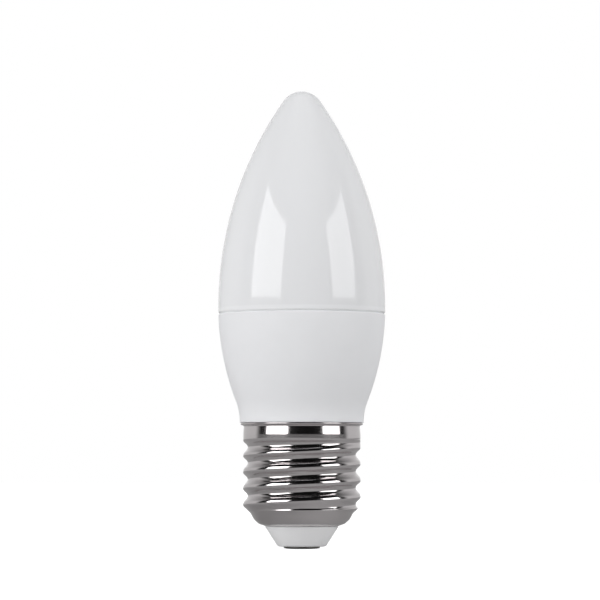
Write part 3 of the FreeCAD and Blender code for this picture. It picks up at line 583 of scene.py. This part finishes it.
class Sky:
    """The world's nodes, with short ways to work out a light's level from a direction."""

    def __init__(self):
        world = bpy.data.worlds.new("studio")
        bpy.context.scene.world = world
        world.use_nodes = True
        self.tree = world.node_tree
        self.output = self.tree.nodes["Background"]
        self.output.inputs["Color"].default_value = (1, 1, 1, 1)
        place = self.tree.nodes.new("ShaderNodeTexCoord").outputs["Generated"]
        split = self.tree.nodes.new("ShaderNodeSeparateXYZ")
        self.tree.links.new(place, split.inputs["Vector"])
        x, y, z = split.outputs
        self.bearing = self.sum("DEGREES", self.sum("ARCTAN2", x, self.sum("MULTIPLY", y, -1)))
        self.height = self.sum("DEGREES", self.sum("ARCSINE", z))

    def sum(self, operation, *terms):
        """The result of one operation on sockets and plain numbers."""
        node = self.tree.nodes.new("ShaderNodeMath")
        node.operation = operation
        for socket, term in zip(node.inputs, terms):
            if isinstance(term, (int, float)):
                socket.default_value = term
            else:
                self.tree.links.new(term, socket)
        return node.outputs["Value"]

    def above(self, angle, start, soft):
        """Rises from 0 to 1 as an angle passes a start, softly over so many degrees on both sides."""
        node = self.tree.nodes.new("ShaderNodeMapRange")
        node.interpolation_type = "SMOOTHSTEP"
        self.tree.links.new(self.sum("SUBTRACT", angle, start), node.inputs["Value"])
        node.inputs["From Min"].default_value = -soft
        node.inputs["From Max"].default_value = soft
        return node.outputs["Result"]

    def below(self, angle, end, soft):
        """Falls from 1 to 0 as an angle passes an end."""
        return self.sum("SUBTRACT", 1, self.above(angle, end, soft))

    def inside(self, angle, low, high, soft):
        """Is 1 while an angle is between two others and 0 elsewhere."""
        return self.sum("MULTIPLY", self.above(angle, low, soft), self.below(angle, high, soft))

    def line(self, angle, first, last):
        """An edge that runs straight through two points, each an angle and where the edge is there."""
        slope = (last[1] - first[1]) / (last[0] - first[0])
        return self.sum("MULTIPLY_ADD", angle, slope, first[1] - slope * first[0])

    def box(self, left, right, heights, level):
        """Level of a box of light in this direction."""
        foot, left_top, right_top = heights
        left_edge = self.line(self.height, (foot, left[0]), (left_top, left[1]))
        right_edge = self.line(self.height, (foot, right[0]), (right_top, right[1]))
        top_edge = self.line(self.bearing, (left[1], left_top), (right[1], right_top))
        across = self.inside(self.bearing, left_edge, right_edge, SIDE_EDGE)
        upright = self.inside(self.height, foot, top_edge, TOP_EDGE)
        return self.sum("MULTIPLY", self.sum("MULTIPLY", across, upright), level)


def light_the_scene():
    """White to the camera. To other rays the softboxes, with rear and haze for gloss or else the fills."""
    sky = Sky()
    path = sky.tree.nodes.new("ShaderNodeLightPath").outputs
    boxes = sky.sum("ADD", sky.box(**LEFT_BOX), sky.box(**RIGHT_BOX))
    off_front = sky.sum("ABSOLUTE", sky.bearing)
    behind = sky.above(off_front, BEHIND["start"], BEHIND["edge"])
    extra = sky.sum("MULTIPLY", behind, BEHIND["level"] - REAR["level"])
    around = sky.above(off_front, REAR["start"], REAR["edge"])
    rear = sky.sum("MULTIPLY_ADD", around, REAR["level"], extra)
    rear = sky.sum("MULTIPLY", rear, sky.below(sky.height, REAR["top"], REAR["fade"]))
    haze = sky.sum("MULTIPLY", sky.below(sky.height, HAZE["top"], TOP_EDGE), HAZE["level"])
    gloss = sky.sum("ADD", sky.sum("MAXIMUM", rear, haze), DARK)
    fills = sky.sum("ADD", sky.box(**LEFT_FILL), sky.box(**RIGHT_FILL))
    base = sky.sum("ADD", fills, AMBIENT)
    difference = sky.sum("SUBTRACT", gloss, base)
    rest = sky.sum("MULTIPLY_ADD", difference, path["Is Glossy Ray"], base)
    level = sky.sum("ADD", boxes, rest)
    shown = sky.sum("MULTIPLY_ADD", sky.sum("SUBTRACT", 1, level), path["Is Camera Ray"], level)
    sky.tree.links.new(shown, sky.output.inputs["Strength"])


FLOOR_HALF = 4.0
FLOOR_CELLS = 8
FLOOR_COLOUR = 0.62
FLOOR_IN_GLOSS = 0.44
FLOOR_LIFT = 0.74


def lay_floor():
    """A plain pale floor under the contact, which keeps the lamp's shadow and shows white elsewhere."""
    mesh = bmesh.new()
    bmesh.ops.create_grid(mesh, x_segments=FLOOR_CELLS, y_segments=FLOOR_CELLS, size=FLOOR_HALF)
    data = bpy.data.meshes.new("floor")
    mesh.to_mesh(data)
    mesh.free()
    floor = bpy.data.objects.new("floor", data)
    bpy.context.scene.collection.objects.link(floor)
    material = bpy.data.materials.new("floor_paper")
    material.use_nodes = True
    tree = material.node_tree
    tree.nodes.remove(tree.nodes["Principled BSDF"])
    path = tree.nodes.new("ShaderNodeLightPath").outputs
    tint = tree.nodes.new("ShaderNodeMapRange")
    tint.inputs["To Min"].default_value = FLOOR_COLOUR
    tint.inputs["To Max"].default_value = FLOOR_IN_GLOSS
    tree.links.new(path["Is Glossy Ray"], tint.inputs["Value"])
    paper = tree.nodes.new("ShaderNodeBsdfDiffuse")
    tree.links.new(tint.outputs["Result"], paper.inputs["Color"])
    lift = tree.nodes.new("ShaderNodeMath")
    lift.operation = "MULTIPLY"
    lift.inputs[1].default_value = FLOOR_LIFT
    tree.links.new(path["Is Camera Ray"], lift.inputs[0])
    glow = tree.nodes.new("ShaderNodeEmission")
    tree.links.new(lift.outputs["Value"], glow.inputs["Strength"])
    both = tree.nodes.new("ShaderNodeAddShader")
    tree.links.new(paper.outputs["BSDF"], both.inputs[0])
    tree.links.new(glow.outputs["Emission"], both.inputs[1])
    tree.links.new(both.outputs["Shader"], tree.nodes["Material Output"].inputs["Surface"])
    data.materials.append(material)


CAMERA_PLACE = (-0.0004, -0.770, 0.017)
CAMERA_TILT = math.radians(2.815)
CAMERA_LENS = 209.25


def set_camera():
    """The photograph's view: level with the thread, tilted up a little, from 0.77 m in front."""
    data = bpy.data.cameras.new("camera")
    data.lens = CAMERA_LENS
    camera = bpy.data.objects.new("camera", data)
    camera.location = CAMERA_PLACE
    camera.rotation_euler = (math.pi / 2 + CAMERA_TILT, 0, 0)
    bpy.context.scene.collection.objects.link(camera)
    bpy.context.scene.camera = camera


dress(make_diffuser(), "diffuser", opal_plastic())
dress(make_housing(), "housing", outer_finish("housing_plastic"))
dress(make_screw_shell(), "screw_shell", outer_finish("plated_shell"))
dress(make_insulator(), "insulator", outer_finish("insulator_plastic"))
dress(make_contact(), "centre_contact", outer_finish("contact_metal"))
dress_inner_nodes()
light_the_scene()
lay_floor()
set_camera()
bpy.context.scene.view_settings.view_transform = "Standard"
